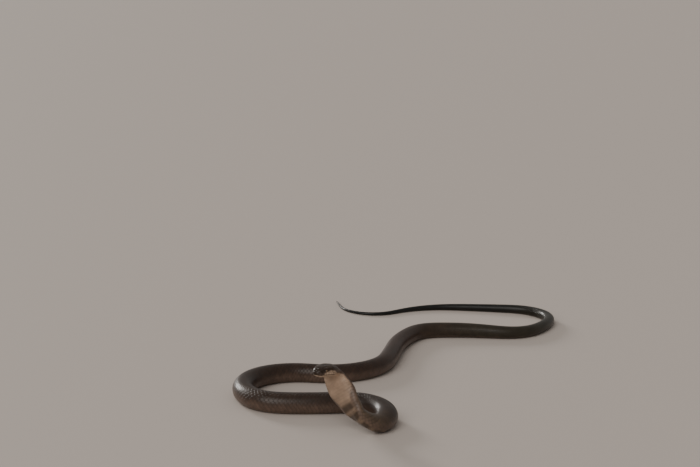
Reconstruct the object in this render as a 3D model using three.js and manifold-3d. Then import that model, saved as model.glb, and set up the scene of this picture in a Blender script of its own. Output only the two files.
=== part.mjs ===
// A king cobra at life size, lying in loose bends with its forebody raised and turned.
// Millimetres, +Z up, the origin on the floor under the middle of the animal.
import * as THREE from 'three';
import { mergeVertices } from 'three/addons/utils/BufferGeometryUtils.js';
import Module from 'manifold-3d';

const wasm = await Module();
wasm.setup();

// The line of the body on the floor, from the tip of the tail: length, then turn to the left in degrees.
const TAIL_TIP = { x: -205.62, y: 640.346 };
const TAIL_TIP_HEADING = -80.4;
const STRETCHES = [
  [87.1, 3],
  [197, 119.8],
  [203.3, -43.5],
  [182.6, -5.4],
  [186.6, -98.2],
  [131.1, -24.9],
  [118.6, -56.2],
  [182.6, 16.1],
  [86.1, 51],
  [173.5, 19.6],
  [118.9, -3.8],
  [260.6, -85.8],
  [321.8, 131.4],
  [83.3, 56.4],
  [153, 14.8],
  [121.3, -81.2],
  [99.1, -62],
];
const BEND_EASE = 50; // a change of curvature is spread over this length
const PATH_STEP = 5;

// The raised forebody, up to the back of the head, measured from where the body leaves the floor line.
const RAISED_POINTS = [
  [-37, -11, 39],
  [-56, -7, 53],
  [-78, 2, 83.5],
  [-97, 9, 114],
  [-108, 11, 128],
  [-110, 11, 138],
  [-111, 6, 146],
  [-114, -1, 150],
];

// From here on the line is rounded off, by averaging it over this distance to both sides.
const RISE_EASE = { from: 2630, full: 2690, reach: 25 };

// Which way the back faces along the raised forebody: place along the body, then the direction.
const BACK_KEYS = [
  [2705, [0, 0, 1]],
  [2750, [0.35, 0.35, 0.85]],
  [2790, [0.55, 0.75, 0.3]],
  [2830, [0.4, 0.9, 0.1]],
  [2870, [0.25, 0.8, 0.5]],
  [2895, [0.08, 0.12, 1]],
];

const HEAD_DIRECTION = new THREE.Vector3(-0.56, -0.82, 0.06).normalize();
const NAPE_LENGTH = 56;

// Half width and half depth of the body, by place along it.
const GIRTHS = [
  [0, 1.6, 1.6],
  [40, 3.4, 3.3],
  [150, 5.2, 5],
  [300, 7, 6.8],
  [480, 11, 10.6],
  [650, 14, 13.4],
  [850, 16.5, 16],
  [1050, 18.5, 18],
  [1200, 22.5, 22],
  [1500, 24.5, 24],
  [1900, 25.2, 24.6],
  [2150, 27.3, 26.4],
  [2450, 27.6, 26.6],
  [2620, 27.6, 26],
  [2700, 27, 23],
  [2750, 29, 18.5],
  [2800, 33.5, 15],
  [2845, 37.5, 13.5],
  [2875, 26, 14.4],
  [2905, 20, 13.2],
];

// The lengths the body is divided into, and where each ends.
const LENGTHS = [
  ['tail_tip', 150],
  ['tail_hook_outer', 235],
  ['tail_hook_inner', 320],
  ['tail_middle', 480],
  ['tail_base', 650],
  ['torso_far_bend_out', 765],
  ['torso_far_bend_back', 900],
  ['torso_rear_bend_outer', 1000],
  ['torso_rear_bend_inner', 1095],
  ['torso_rear_run', 1290],
  ['torso_s_bend_upper', 1420],
  ['torso_s_run', 1650],
  ['torso_s_bend_lower', 1800],
  ['torso_middle_run', 1950],
  ['torso_left_bend_upper', 2090],
  ['torso_left_bend_side', 2225],
  ['torso_left_bend_lower', 2340],
  ['torso_front_run', 2500],
  ['torso_right_bend_outer', 2605],
  ['torso_right_bend_inner', 2705],
  ['neck_base', 2790],
  ['neck_hood', Infinity],
];
const JOINT_GAP = 0.3;
const BODY_SIDES = 16;
const RING_STEP = 14;
const BELLY_FLAT = 0.9; // the belly is level this far below the middle, as a share of the half depth

function lerpTable(table, s, column) {
  let i = 1;
  while (i < table.length - 1 && table[i][0] < s) i += 1;
  const [a, b] = [table[i - 1], table[i]];
  const t = THREE.MathUtils.clamp((s - a[0]) / (b[0] - a[0]), 0, 1);
  return THREE.MathUtils.lerp(a[column], b[column], t);
}

// The table read as a smooth curve, by averaging it over a short stretch.
function smoothTable(table, s, column, reach) {
  const samples = 9;
  let sum = 0;
  for (let k = 0; k < samples; k += 1) {
    sum += lerpTable(table, s + (k / (samples - 1) - 0.5) * reach, column);
  }
  return sum / samples;
}

function headingTable() {
  let [s, heading] = [0, TAIL_TIP_HEADING];
  const table = [[s, heading]];
  for (const [length, turn] of STRETCHES) {
    s += length;
    heading += turn;
    table.push([s, heading]);
  }
  return table;
}

function halfWidth(s) {
  return smoothTable(GIRTHS, s, 1, 60);
}

function halfDepth(s) {
  return smoothTable(GIRTHS, s, 2, 60);
}

// Points along the middle of the whole body, each with its place along it.
function bodyLine() {
  const headings = headingTable();
  const floorLength = headings.at(-1)[0];
  const steps = Math.round(floorLength / PATH_STEP);
  const step = floorLength / steps;
  const at = new THREE.Vector3(TAIL_TIP.x, TAIL_TIP.y, BELLY_FLAT * halfDepth(0));
  const line = [{ s: 0, p: at.clone() }];
  for (let i = 1; i <= steps; i += 1) {
    const heading = THREE.MathUtils.degToRad(smoothTable(headings, (i - 0.5) * step, 1, BEND_EASE));
    at.x += Math.cos(heading) * step;
    at.y += Math.sin(heading) * step;
    at.z = BELLY_FLAT * halfDepth(i * step);
    line.push({ s: i * step, p: at.clone() });
  }
  const before = line[line.length - 5].p;
  const rise = new THREE.CatmullRomCurve3(
    [before, at.clone(), ...RAISED_POINTS.map(([x, y, z]) => new THREE.Vector3(at.x + x, at.y + y, z))],
    false,
    'centripetal',
  );
  const total = rise.getLength();
  const count = Math.round(total / PATH_STEP);
  const floorShare = before.distanceTo(at);
  for (let i = 1; i <= count; i += 1) {
    const along = (i / count) * total;
    if (along > floorShare + 1) {
      line.push({ s: floorLength + along - floorShare, p: rise.getPointAt(i / count) });
    }
  }
  return line;
}

// The line with the raised forebody's corners rounded off.
function eased(line) {
  const last = line.length - 1;
  return line.map(({ s, p }, i) => {
    const share = THREE.MathUtils.smoothstep(s, RISE_EASE.from, RISE_EASE.full);
    const reach = Math.min(Math.round((RISE_EASE.reach * share) / PATH_STEP), last - i);
    const mean = new THREE.Vector3();
    for (let k = -reach; k <= reach; k += 1) mean.addScaledVector(line[i + k].p, 1 / (2 * reach + 1));
    return { s, p: reach > 0 ? mean : p };
  });
}

const LINE = eased(bodyLine());
const BODY_LENGTH = LINE.at(-1).s;

function pointAt(s) {
  let i = 1;
  while (i < LINE.length - 1 && LINE[i].s < s) i += 1;
  const [a, b] = [LINE[i - 1], LINE[i]];
  return a.p.clone().lerp(b.p, (s - a.s) / (b.s - a.s));
}

function backAt(s) {
  let i = 1;
  while (i < BACK_KEYS.length - 1 && BACK_KEYS[i][0] < s) i += 1;
  const [a, b] = [BACK_KEYS[i - 1], BACK_KEYS[i]];
  const t = THREE.MathUtils.smoothstep(s, a[0], b[0]);
  return new THREE.Vector3(...a[1]).lerp(new THREE.Vector3(...b[1]), t);
}

// Place, direction, back and right side of the body at a place along it. The nape turns into the head's
// direction.
function frameAt(s) {
  const reach = 6;
  const forward = pointAt(Math.min(s + reach, BODY_LENGTH)).sub(pointAt(Math.max(s - reach, 0))).normalize();
  const turned = THREE.MathUtils.smoothstep(s, BODY_LENGTH - NAPE_LENGTH, BODY_LENGTH);
  forward.lerp(HEAD_DIRECTION, turned).normalize();
  const right = forward.clone().cross(backAt(s)).normalize();
  const back = right.clone().cross(forward);
  return { p: pointAt(s), forward, right, back };
}

// A mesh's points moved by a function of the angle round it, the place along it and the distance from its
// axis.
function reshape(geometry, place) {
  const position = geometry.getAttribute('position');
  for (let i = 0; i < position.count; i += 1) {
    const [x, y, z] = [position.getX(i), position.getY(i), position.getZ(i)];
    const moved = place(Math.atan2(x, z), y, Math.hypot(x, z));
    position.setXYZ(i, moved.x, moved.y, moved.z);
  }
  geometry.deleteAttribute('normal');
  geometry.deleteAttribute('uv');
  return mergeVertices(geometry, 1e-3);
}

// Belly scutes stand out on the raised forebody: each has its free edge towards the tail.
const SCUTES = { from: 2722, length: 8.4, lift: 0.7, edge: 0.25, angle: 124 };

function scuteLift(s, angle) {
  if (s < SCUTES.from - 1e-6) return 0;
  const along = (s - SCUTES.from) / SCUTES.length;
  const share = 1 - (along - Math.floor(along + 1e-6));
  const belly = THREE.MathUtils.radToDeg(Math.abs(angle)) > SCUTES.angle ? 1 : 0;
  return belly * SCUTES.lift * share;
}

// Where a length's rings stand: evenly, then in pairs at the scutes' edges.
function ringPlaces(from, to) {
  const plainTo = Math.min(to, Math.max(from, SCUTES.from));
  const rows = Math.max(2, Math.round((plainTo - from) / RING_STEP));
  const rings = [from];
  for (let i = 1; i < rows && plainTo > from; i += 1) {
    rings.push(THREE.MathUtils.lerp(from, plainTo, i / rows));
  }
  const first = Math.ceil((plainTo - SCUTES.from) / SCUTES.length);
  for (let edge = SCUTES.from + first * SCUTES.length; edge < to - 1; edge += SCUTES.length) {
    if (edge > from + 1) rings.push(edge - SCUTES.edge, edge);
  }
  return [...rings, to];
}

// One length of the body. Its flat ends lie half a gap inside the cuts that part it from its neighbours.
function bodyLength(from, to) {
  const rings = ringPlaces(from, to);
  const tube = new THREE.CylinderGeometry(1, 1, 1, BODY_SIDES, rings.length - 1);
  return reshape(tube, (angle, along, out) => {
    const s = rings[Math.round((along + 0.5) * (rings.length - 1))];
    const { p, forward, right, back } = frameAt(s);
    if (s === from && from > 0) p.addScaledVector(forward, JOINT_GAP / 2);
    if (s === to && to < BODY_LENGTH) p.addScaledVector(forward, -JOINT_GAP / 2);
    const lift = s > from && s < to ? scuteLift(s, angle) : 0;
    const rim = out < 0.5 ? 0 : 1;
    const aside = rim * Math.sin(angle) * (halfWidth(s) + lift);
    const above = rim * Math.max(Math.cos(angle), -BELLY_FLAT) * (halfDepth(s) + lift);
    return p.addScaledVector(right, aside).addScaledVector(back, above);
  });
}

const HEAD_LENGTH = 59;
const HEAD_ROWS = 26;
// Along the head from its back to the snout, as a share of its length: half width, height above and depth
// below the widest level, and how high that level lies.
const HEAD_SHAPE = [
  [0, 23.6, 13.7, 13.7, 0],
  [0.12, 23.8, 14.8, 14.6, 0],
  [0.28, 24, 15.6, 14.8, -0.4],
  [0.45, 22.3, 16.2, 12.6, -0.8],
  [0.64, 18.3, 15.8, 10.3, -1.4],
  [0.8, 15.4, 14.8, 7.8, -2.2],
  [0.92, 13.1, 13.5, 6.1, -2.8],
  [1, 11.8, 12.4, 5.3, -3.1],
];
const SNOUT_ROUND = 0.2; // the last share of the length, where the snout rounds off
const SNOUT_SQUARE = 2.3; // exponent of that rounding, over 2 is blunter than an ellipse
const SNOUT_OVERHANG = 1.1; // the upper jaw's front leans out, and the lower jaw's front lies back
const CHIN_SETBACK = 2.4;
const CROWN_SQUARE = 0.74; // exponent of the cross section, under 1 is squarer than an ellipse
const JAW_SQUARE = 0.9;

// The line of the mouth: its angle from the crown along the head, and where its corner lies.
const MOUTH_ANGLES = [
  [0, 118],
  [0.24, 112],
  [0.36, 103],
  [0.5, 99],
  [0.7, 96],
  [0.85, 93],
  [1, 91],
];
const MOUTH = { corner: 0.25, depth: 1.2, spread: 1.6, upperLip: 0.5, lowerLip: 0.4 };
// Where points stand round half a section: shares of the way from crown to mouth, then from mouth to chin.
const ABOVE_MOUTH = [0, 0.17, 0.33, 0.46, 0.57, 0.68, 0.79, 0.89, 0.96];
const BELOW_MOUTH = [0, 0.04, 0.13, 0.38, 0.66, 1];
const BROW = { along: 0.64, angle: 47, lift: 1.5, length: 0.13, spread: 11 };
const CHEEK_RIDGE = { along: 0.4, angle: 56, lift: 0.6, length: 0.16, spread: 10 };
const SNOUT_RIDGE = { along: 0.84, angle: 50, lift: 0.6, length: 0.09, spread: 12 };
const LORE_DIP = { along: 0.8, angle: 74, lift: -0.8, length: 0.1, spread: 12 };
const EYE_RADIUS = 3.7;
const EYE = { along: 0.64, angle: 68, sink: 2.5 };
const NOSTRIL = { along: 0.925, angle: 66, radius: 1.4 };

function headFrame() {
  const back = pointAt(BODY_LENGTH);
  const right = HEAD_DIRECTION.clone().cross(new THREE.Vector3(...BACK_KEYS.at(-1)[1])).normalize();
  const up = right.clone().cross(HEAD_DIRECTION);
  const origin = back.addScaledVector(HEAD_DIRECTION, JOINT_GAP);
  return new THREE.Matrix4().makeBasis(right, HEAD_DIRECTION, up).setPosition(origin);
}

function hump(value, middle, spread) {
  return Math.exp(-(((value - middle) / spread) ** 2));
}

function swelling(form, t, degrees) {
  return form.lift * hump(t, form.along, form.length) * hump(degrees, form.angle, form.spread);
}

// How far the head's surface stands out from its plain section: brow, ridges, lips and the line of the mouth.
function headRelief(degrees, t) {
  const mouthAngle = lerpTable(MOUTH_ANGLES, t, 1);
  const open = THREE.MathUtils.smoothstep(t, MOUTH.corner - 0.02, MOUTH.corner + 0.05);
  const forms = [BROW, CHEEK_RIDGE, SNOUT_RIDGE, LORE_DIP];
  let out = forms.reduce((sum, form) => sum + swelling(form, t, degrees), 0);
  out += open * MOUTH.upperLip * hump(degrees, mouthAngle - 6, 6);
  out += open * MOUTH.lowerLip * hump(degrees, mouthAngle + 7, 6);
  return out - open * (MOUTH.depth + MOUTH.upperLip) * hump(degrees, mouthAngle, MOUTH.spread);
}

function signedPower(value, exponent) {
  return Math.sign(value) * Math.abs(value) ** exponent;
}

// A point of the head's surface, by angle from the crown and place along it, lifted off by a distance.
function headPoint(angle, t, lift = 0) {
  const closing = THREE.MathUtils.clamp((t - (1 - SNOUT_ROUND)) / SNOUT_ROUND, 0, 1);
  const round = (1 - closing ** SNOUT_SQUARE) ** (1 / SNOUT_SQUARE);
  const above = Math.cos(angle) > 0;
  const squareness = THREE.MathUtils.smoothstep(t, 0, 0.3);
  const square = THREE.MathUtils.lerp(1, above ? CROWN_SQUARE : JAW_SQUARE, squareness);
  const out = headRelief(THREE.MathUtils.radToDeg(Math.abs(angle)), t) + lift;
  const [width, height, level] = [1, above ? 2 : 3, 4].map((k) => smoothTable(HEAD_SHAPE, t, k, 0.12));
  const flat = THREE.MathUtils.lerp(-BELLY_FLAT, -1, THREE.MathUtils.smoothstep(t, 0, 0.2));
  const tall = Math.max(signedPower(Math.cos(angle), square), flat);
  const front = THREE.MathUtils.smoothstep(t, 1 - 1.4 * SNOUT_ROUND, 1);
  const overhang = SNOUT_OVERHANG * Math.sin(tall * Math.PI * round);
  const setback = -CHIN_SETBACK * Math.min(1, -3 * tall * round);
  const lean = above ? overhang : setback;
  return new THREE.Vector3(
    signedPower(Math.sin(angle), square) * (width + out) * round,
    t * HEAD_LENGTH + front * lean,
    level + tall * (height + out) * round,
  );
}

// The angle of a point round the section, counted from the crown down each side to the chin.
function headAngle(step, t) {
  const mouthAngle = lerpTable(MOUTH_ANGLES, t, 1);
  const above = ABOVE_MOUTH.length;
  if (step < above) return ABOVE_MOUTH[step] * mouthAngle;
  return THREE.MathUtils.lerp(mouthAngle, 180, BELOW_MOUTH[step - above]);
}

function headShell() {
  const half = ABOVE_MOUTH.length + BELOW_MOUTH.length - 1;
  const ball = new THREE.SphereGeometry(1, half * 2, HEAD_ROWS);
  return reshape(ball, (turn, y) => {
    const row = Math.round((Math.acos(THREE.MathUtils.clamp(y, -1, 1)) / Math.PI) * HEAD_ROWS);
    if (row === HEAD_ROWS) return new THREE.Vector3(0, 0, 0);
    if (row === 0) return headPoint(0, 1);
    const t = Math.max(0, Math.cos((row / (HEAD_ROWS - 1)) * 0.5 * Math.PI) - 1e-9) ** 0.9;
    const step = Math.round((Math.abs(turn) / Math.PI) * half);
    return headPoint(Math.sign(turn) * THREE.MathUtils.degToRad(headAngle(step, t)), t);
  });
}

// The large shields of the crown: corners by place along the head and angle from its middle line, each
// going out along the back edge and home along the front one.
const MID = 2;
const SHIELDS = {
  internasal: [[0.9, MID], [0.895, 30], [0.92, 52], [0.965, 44], [0.975, MID]],
  prefrontal: [[0.79, MID], [0.77, 34], [0.8, 54], [0.9, 52], [0.88, 30], [0.885, MID]],
  supraocular: [[0.54, 26], [0.56, 54], [0.66, 58], [0.745, 54], [0.76, 36], [0.7, 26]],
  parietal: [[0.3, MID], [0.31, 34], [0.44, 56], [0.535, 52], [0.53, 24], [0.5, MID]],
  occipital: [[0.13, MID], [0.15, 34], [0.27, 56], [0.4, 54], [0.295, 34], [0.285, MID]],
};
const FRONTAL = [[0.515, 0], [0.55, 23], [0.7, 23], [0.775, 30], [0.78, 0]];
const SHIELD = { lift: 0.75, bevel: 0.45, root: 1.2, crown: 0.75, corner: 0.14 };

function mix(a, b, share) {
  return a.map((value, k) => THREE.MathUtils.lerp(value, b[k], share));
}

// A plate over the head's surface: a low rounded top, steep sides and a root sunk in the head.
function plate(corners, side) {
  const mirrored = corners.map(([t, angle]) => [t, -angle]).reverse();
  const sides = { '-1': mirrored, 0: [...corners, ...mirrored.slice(1, -1)], 1: corners };
  const outline = sides[side].flatMap((corner, i, all) => {
    const next = all[(i + 1) % all.length];
    return [SHIELD.corner, 1 - SHIELD.corner].map((share) => mix(corner, next, share));
  });
  const middle = [0, 1].map((k) => outline.reduce((sum, point) => sum + point[k], 0) / outline.length);
  const levels = [
    [0, SHIELD.lift + 0.1],
    [SHIELD.crown, SHIELD.lift],
    [1, SHIELD.bevel],
    [1, -SHIELD.root],
    [0, -SHIELD.root],
  ];
  const turns = outline.length;
  const ball = new THREE.SphereGeometry(1, turns, levels.length - 1);
  return reshape(ball, (turn, y) => {
    const row = Math.round((Math.acos(THREE.MathUtils.clamp(y, -1, 1)) / Math.PI) * (levels.length - 1));
    const [share, lift] = levels[row];
    const step = (Math.floor((turn / (2 * Math.PI)) * turns + 0.25) + turns) % turns;
    const [t, degrees] = mix(middle, outline[step], share);
    return headPoint(THREE.MathUtils.degToRad(degrees), t, lift);
  });
}

function toSolid(geometry) {
  const mesh = new wasm.Mesh({
    numProp: 3,
    vertProperties: new Float32Array(geometry.getAttribute('position').array),
    triVerts: new Uint32Array(geometry.getIndex().array),
  });
  return new wasm.Manifold(mesh);
}

function fromSolid(solid) {
  const pieces = solid.decompose();
  const largest = pieces.reduce((a, b) => (b.volume() > a.volume() ? b : a));
  const mesh = largest.getMesh();
  const geometry = new THREE.BufferGeometry();
  geometry.setAttribute('position', new THREE.BufferAttribute(new Float32Array(mesh.vertProperties), 3));
  geometry.setIndex(new THREE.BufferAttribute(new Uint32Array(mesh.triVerts), 1));
  return geometry;
}

function ballAt(centre, radius, sides) {
  const ball = new THREE.SphereGeometry(radius, sides, Math.round(sides * 0.6));
  ball.deleteAttribute('normal');
  ball.deleteAttribute('uv');
  ball.translate(centre.x, centre.y, centre.z);
  return mergeVertices(ball, 1e-4);
}

function eyeCentre(side) {
  const at = headPoint(THREE.MathUtils.degToRad(EYE.angle) * side, EYE.along);
  return at.addScaledVector(new THREE.Vector3(side, 0.12, 0.3).normalize(), -EYE.sink);
}

function head() {
  let solid = toSolid(headShell());
  solid = solid.add(toSolid(plate(FRONTAL, 0)));
  for (const side of [-1, 1]) {
    for (const corners of Object.values(SHIELDS)) {
      solid = solid.add(toSolid(plate(corners, side)));
    }
    solid = solid.subtract(toSolid(ballAt(eyeCentre(side), EYE_RADIUS + JOINT_GAP, 16)));
    const nostril = headPoint(THREE.MathUtils.degToRad(NOSTRIL.angle) * side, NOSTRIL.along);
    solid = solid.subtract(toSolid(ballAt(nostril, NOSTRIL.radius, 8)));
  }
  return fromSolid(solid);
}

const OLIVE_BROWN = new THREE.MeshStandardMaterial({ color: 0x40342b, roughness: 0.45, metalness: 0 });
const DARK_TAIL = new THREE.MeshStandardMaterial({ color: 0x15160f, roughness: 0.4, metalness: 0 });
const TAN_THROAT = new THREE.MeshStandardMaterial({ color: 0x8c7862, roughness: 0.5, metalness: 0 });
const EYE_BLACK = new THREE.MeshStandardMaterial({ color: 0x0c0a08, roughness: 0.1, metalness: 0 });

function skinOf(name) {
  if (name.startsWith('tail')) return DARK_TAIL;
  return name.startsWith('neck') ? TAN_THROAT : OLIVE_BROWN;
}

function named(name, geometry, material) {
  const mesh = new THREE.Mesh(geometry, material);
  mesh.name = name;
  return mesh;
}

const cobra = new THREE.Group();
let start = 0;
for (const [name, end] of LENGTHS) {
  const stop = Math.min(end, BODY_LENGTH);
  cobra.add(named(name, bodyLength(start, stop), skinOf(name)));
  start = stop;
}

const headGroup = new THREE.Group();
headFrame().decompose(headGroup.position, headGroup.quaternion, headGroup.scale);
headGroup.add(named('head', head(), OLIVE_BROWN));
headGroup.add(named('eye_left', ballAt(eyeCentre(-1), EYE_RADIUS, 16), EYE_BLACK));
headGroup.add(named('eye_right', ballAt(eyeCentre(1), EYE_RADIUS, 16), EYE_BLACK));
cobra.add(headGroup);

export default cobra;
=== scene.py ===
# A king cobra at life size as a still model: one skin, overlapping scales, belly scutes, head shields and
# eyes. Metres, in the frame's own axes. The body's line and girths are those of the solids.
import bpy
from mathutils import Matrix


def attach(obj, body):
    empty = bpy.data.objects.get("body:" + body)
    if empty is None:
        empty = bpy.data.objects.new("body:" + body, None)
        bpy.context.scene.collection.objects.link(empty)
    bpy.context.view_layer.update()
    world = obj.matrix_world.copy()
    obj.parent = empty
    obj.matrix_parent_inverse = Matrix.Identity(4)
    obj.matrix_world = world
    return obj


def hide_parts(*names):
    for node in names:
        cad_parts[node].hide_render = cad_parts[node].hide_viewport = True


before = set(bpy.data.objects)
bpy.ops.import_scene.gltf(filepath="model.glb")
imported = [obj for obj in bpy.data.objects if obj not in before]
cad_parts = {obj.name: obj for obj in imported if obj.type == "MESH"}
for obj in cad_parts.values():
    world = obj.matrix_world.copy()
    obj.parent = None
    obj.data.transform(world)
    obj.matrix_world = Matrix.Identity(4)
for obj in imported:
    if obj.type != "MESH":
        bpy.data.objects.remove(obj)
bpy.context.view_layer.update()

import math

import bpy
import numpy as np
from mathutils import Matrix, Vector

FLESH = [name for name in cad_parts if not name.startswith("eye_")]
SEED = 11
random = np.random.default_rng(SEED)

# The line of the body on the floor from the tip of the tail: length, then turn to the left in degrees.
TAIL_TIP = (-0.20562, 0.640346)
TAIL_TIP_HEADING = -80.4
STRETCHES = [
    (0.0871, 3), (0.197, 119.8), (0.2033, -43.5), (0.1826, -5.4), (0.1866, -98.2), (0.1311, -24.9),
    (0.1186, -56.2), (0.1826, 16.1), (0.0861, 51), (0.1735, 19.6), (0.1189, -3.8), (0.2606, -85.8),
    (0.3218, 131.4), (0.0833, 56.4), (0.153, 14.8), (0.1213, -81.2), (0.0991, -62),
]
BEND_EASE = 0.05  # a change of curvature is spread over this length
PATH_STEP = 0.005
SMOOTH_SAMPLES = 9  # a smoothed value is the mean of this many

# The raised forebody up to the back of the head, measured from where the body leaves the floor line.
RAISED_POINTS = [
    (-0.037, -0.011, 0.039), (-0.056, -0.007, 0.053), (-0.078, 0.002, 0.0835), (-0.097, 0.009, 0.114),
    (-0.108, 0.011, 0.128), (-0.11, 0.011, 0.138), (-0.111, 0.006, 0.146), (-0.114, -0.001, 0.15),
]
RISE_LEAD = 4  # the rising curve starts this many steps back on the floor line
RISE_CLEAR = 0.001
RISE_EASE_FROM, RISE_EASE_FULL, RISE_EASE_REACH = 2.63, 2.69, 0.025

# Which way the back faces along the raised forebody: place along the body, then the direction.
BACK_KEYS = [
    (2.705, (0, 0, 1)), (2.75, (0.35, 0.35, 0.85)), (2.79, (0.55, 0.75, 0.3)),
    (2.83, (0.4, 0.9, 0.1)), (2.87, (0.25, 0.8, 0.5)), (2.895, (0.08, 0.12, 1)),
]
HEAD_DIRECTION = np.array((-0.56, -0.82, 0.06))
HEAD_DIRECTION /= np.linalg.norm(HEAD_DIRECTION)
NAPE_LENGTH = 0.056
HEAD_GAP = 0.0003
FRAME_STEP, FRAME_REACH = 0.001, 0.006  # the body's direction is read over this reach either way

# Half width and half depth of the body, by place along it.
GIRTHS = np.array([
    (0, 0.0016, 0.0016), (0.04, 0.0034, 0.0033), (0.15, 0.0052, 0.005), (0.3, 0.007, 0.0068),
    (0.48, 0.011, 0.0106), (0.65, 0.014, 0.0134), (0.85, 0.0165, 0.016), (1.05, 0.0185, 0.018),
    (1.2, 0.0225, 0.022), (1.5, 0.0245, 0.024), (1.9, 0.0252, 0.0246), (2.15, 0.0273, 0.0264),
    (2.45, 0.0276, 0.0266), (2.62, 0.0276, 0.026), (2.7, 0.027, 0.023), (2.75, 0.029, 0.0185),
    (2.8, 0.0335, 0.015), (2.845, 0.0375, 0.0135), (2.875, 0.026, 0.0144), (2.905, 0.02, 0.0132),
])
GIRTH_EASE = 0.06
BELLY_FLAT = 0.9  # the belly is level this far below the middle, as a share of the half depth
BELLY_CORNER = math.degrees(math.acos(-BELLY_FLAT))  # the angle from the back at which it becomes level


def smoothstep(x, low, high):
    x = np.clip((x - low) / (high - low), 0, 1)
    return x * x * (3 - 2 * x)


def lerp(a, b, share):
    return a + (b - a) * share


def look_up(table, at, column=1):
    """A table's column read at places, straight between its rows."""
    return np.interp(at, table[:, 0], table[:, column])


def vectors_at(at, places, vectors):
    """Vectors given at some places, read at others between them."""
    return np.stack([np.interp(at, places, vectors[:, k]) for k in range(3)], axis=-1)


def smooth_table(table, at, column, reach):
    """A table's column read as a smooth curve, by averaging it over a short stretch."""
    shifts = (np.arange(SMOOTH_SAMPLES) / (SMOOTH_SAMPLES - 1) - 0.5) * reach
    return np.mean([look_up(table, at + shift, column) for shift in shifts], axis=0)


def half_width(s):
    return smooth_table(GIRTHS, s, 1, GIRTH_EASE)


def half_depth(s):
    return smooth_table(GIRTHS, s, 2, GIRTH_EASE)


def centripetal(points, per_span=60):
    """A smooth curve through points, close in steps, with its length along them."""
    points = np.array(points)
    points = np.vstack([2 * points[0] - points[1], points, 2 * points[-1] - points[-2]])
    curve = []
    for p0, p1, p2, p3 in zip(points, points[1:], points[2:], points[3:]):
        d0, d1, d2 = (np.linalg.norm(b - a) ** 0.5 for a, b in ((p0, p1), (p1, p2), (p2, p3)))
        start = ((p1 - p0) / d0 - (p2 - p0) / (d0 + d1) + (p2 - p1) / d1) * d1
        end = ((p2 - p1) / d1 - (p3 - p1) / (d1 + d2) + (p3 - p2) / d2) * d1
        t = (np.arange(per_span) / per_span)[:, None]
        squares = (2 * p1 - 2 * p2 + start + end) * t**3 + (-3 * p1 + 3 * p2 - 2 * start - end) * t**2
        curve.append(squares + start * t + p1)
    curve = np.vstack(curve + [points[-2:-1]])
    lengths = np.concatenate([[0], np.cumsum(np.linalg.norm(np.diff(curve, axis=0), axis=1))])
    return curve, lengths


def body_line():
    """Places along the body and its middle points, from the tip of the tail to the back of the head."""
    table = np.vstack([(0, 0), np.cumsum(STRETCHES, axis=0)]) + (0, TAIL_TIP_HEADING)
    floor_length = table[-1, 0]
    steps = round(floor_length / PATH_STEP)
    step = floor_length / steps
    angle = np.radians(smooth_table(table, (np.arange(steps) + 0.5) * step, 1, BEND_EASE))
    moves = np.stack([np.cos(angle), np.sin(angle)], axis=1) * step
    ground = np.vstack([[TAIL_TIP], TAIL_TIP + np.cumsum(moves, axis=0)])
    places = np.arange(steps + 1) * step
    line = np.column_stack([ground, BELLY_FLAT * half_depth(places)])
    at, before = line[-1], line[-1 - RISE_LEAD]
    raised = [before, at] + [(at[0] + x, at[1] + y, z) for x, y, z in RAISED_POINTS]
    curve, lengths = centripetal(raised)
    floor_share = np.linalg.norm(at - before)
    count = round(lengths[-1] / PATH_STEP)
    along = np.arange(1, count + 1) / count * lengths[-1]
    along = along[along > floor_share + RISE_CLEAR]
    rise = vectors_at(along, lengths, curve)
    places = np.concatenate([places, floor_length + along - floor_share])
    line = np.vstack([line, rise])
    eased = line.copy()
    for i in range(len(line)):
        share = smoothstep(places[i], RISE_EASE_FROM, RISE_EASE_FULL)
        reach = min(math.floor(RISE_EASE_REACH * share / PATH_STEP + 0.5), len(line) - 1 - i)
        if reach > 0:
            eased[i] = line[i - reach : i + reach + 1].mean(axis=0)
    return places, eased


PLACES, MIDDLES = body_line()
BODY_LENGTH = PLACES[-1]
HEAD_LENGTH = 0.059
WHOLE_LENGTH = BODY_LENGTH + HEAD_GAP + HEAD_LENGTH


def unit(vectors):
    return vectors / np.linalg.norm(vectors, axis=-1, keepdims=True)


def middle_at(s):
    return vectors_at(s, PLACES, MIDDLES)


def back_at(s):
    back = np.tile(np.array(BACK_KEYS[0][1], float), (len(s), 1))
    for (s0, a), (s1, b) in zip(BACK_KEYS, BACK_KEYS[1:]):
        share = smoothstep(s, s0, s1)[:, None]
        back = np.where(s[:, None] > s0, lerp(np.array(a, float), np.array(b, float), share), back)
    return back


def make_frames():
    """Where the right side and the back of the body face, at close steps along it."""
    s = np.arange(0, BODY_LENGTH + FRAME_STEP, FRAME_STEP)
    ahead = middle_at(np.minimum(s + FRAME_REACH, BODY_LENGTH))
    forward = unit(ahead - middle_at(np.maximum(s - FRAME_REACH, 0)))
    turned = smoothstep(s, BODY_LENGTH - NAPE_LENGTH, BODY_LENGTH)[:, None]
    forward = unit(lerp(forward, HEAD_DIRECTION, turned))
    right = unit(np.cross(forward, back_at(s)))
    return s, right, np.cross(right, forward)


FRAME_PLACES, RIGHTS, BACKS = make_frames()


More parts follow.
